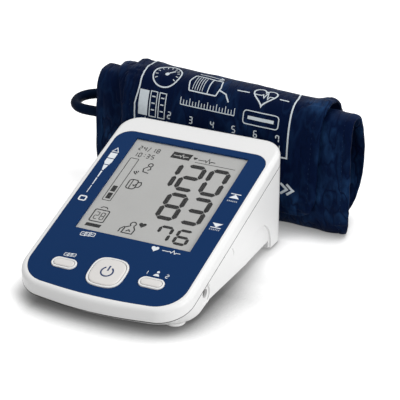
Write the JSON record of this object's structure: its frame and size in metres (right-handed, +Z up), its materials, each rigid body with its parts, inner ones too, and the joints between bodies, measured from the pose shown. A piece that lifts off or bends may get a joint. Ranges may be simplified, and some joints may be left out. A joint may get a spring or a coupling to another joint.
{
  "type": "upper-arm blood pressure monitor",
  "caption": "Desktop blood pressure monitor with a sloping display face and buttons, with its rolled arm cuff and air hose behind it.",
  "frame": {"origin": "middle of the floor rectangle that the monitor and the cuff roll stand on, at table height", "axes": "+X runs to the right across the monitor, +Y to its back, +Z up from the table"},
  "size_m": [0.1996, 0.1976, 0.0831],
  "materials": {
    "white_plastic": "glossy",
    "blue_panel": "glossy",
    "clear_window": "glossy",
    "display_grey": "satin",
    "dark_rubber": "matte",
    "button_white": "satin",
    "dark_plastic": "satin",
    "board_green": "satin",
    "bare_steel": "satin",
    "tube_plastic": "satin",
    "tube_rubber": "matte",
    "lead_red": "matte",
    "cell_wrap": "satin",
    "grey_rubber": "matte",
    "navy_nylon": "satin",
    "bladder_rubber": "matte",
    "hose_rubber": "satin"
  },
  "bodies": {
    "monitor": {"upper_shell": "white_plastic", "lower_shell": "white_plastic", "face_panel": "blue_panel", "display_window": "clear_window", "display_glass": "display_grey", "display_frame": "white_plastic", "contact_strips": "dark_rubber", "button_switches": "dark_plastic", "main_board": "board_green", "board_screws": "bare_steel", "pressure_sensor": "dark_plastic", "pump_motor": "bare_steel", "pump_head": "dark_plastic", "release_valve": "bare_steel", "air_manifold": "tube_plastic", "air_tubes": "tube_rubber", "air_socket": "dark_plastic", "power_jack": "dark_plastic", "wire_leads": "lead_red", "battery_cell_1": "cell_wrap", "battery_cell_2": "cell_wrap", "battery_cell_3": "cell_wrap", "battery_cell_4": "cell_wrap", "battery_contacts": "bare_steel", "battery_springs": "bare_steel", "front_foot_left": "white_plastic", "front_foot_right": "white_plastic", "rear_foot_left": "grey_rubber", "rear_foot_right": "grey_rubber", "case_screws": "bare_steel"},
    "start_key": {"start_button": "button_white"},
    "memory_key": {"memory_button": "button_white"},
    "user_key": {"user_button": "button_white"},
    "bay_door": {"battery_door": "white_plastic"},
    "cuff": {"cuff_outer_ply": "navy_nylon", "cuff_bladder": "bladder_rubber", "cuff_inner_ply": "navy_nylon", "cuff_hook_patch": "navy_nylon", "cuff_port": "dark_plastic", "hose_bend": "hose_rubber", "hose_hank": "hose_rubber", "hose_plug": "dark_plastic", "hose_tie": "dark_plastic"}
  },
  "joints": [
    {"name": "start_press", "type": "slide", "parent": "monitor", "child": "start_key", "axis": [0, 0.3272, -0.9449], "range_m": [0, 0.0007], "stiffness_N_per_m": 800, "springref_m": -0.0005},
    {"name": "memory_press", "type": "slide", "parent": "monitor", "child": "memory_key", "axis": [0, 0.3272, -0.9449], "range_m": [0, 0.0007], "stiffness_N_per_m": 800, "springref_m": -0.0005},
    {"name": "user_press", "type": "slide", "parent": "monitor", "child": "user_key", "axis": [0, 0.3272, -0.9449], "range_m": [0, 0.0007], "stiffness_N_per_m": 800, "springref_m": -0.0005},
    {"name": "door_swing", "type": "hinge", "parent": "monitor", "child": "bay_door", "pos_m": [-0.0025, -0.04002, 0.0065], "axis": [-1, 0, 0], "range_deg": [0, 90]},
    {"name": "cuff_lift", "type": "slide", "parent": "monitor", "child": "cuff", "axis": [0, 0, 1], "range_m": [0, 0.15]}
  ]
}
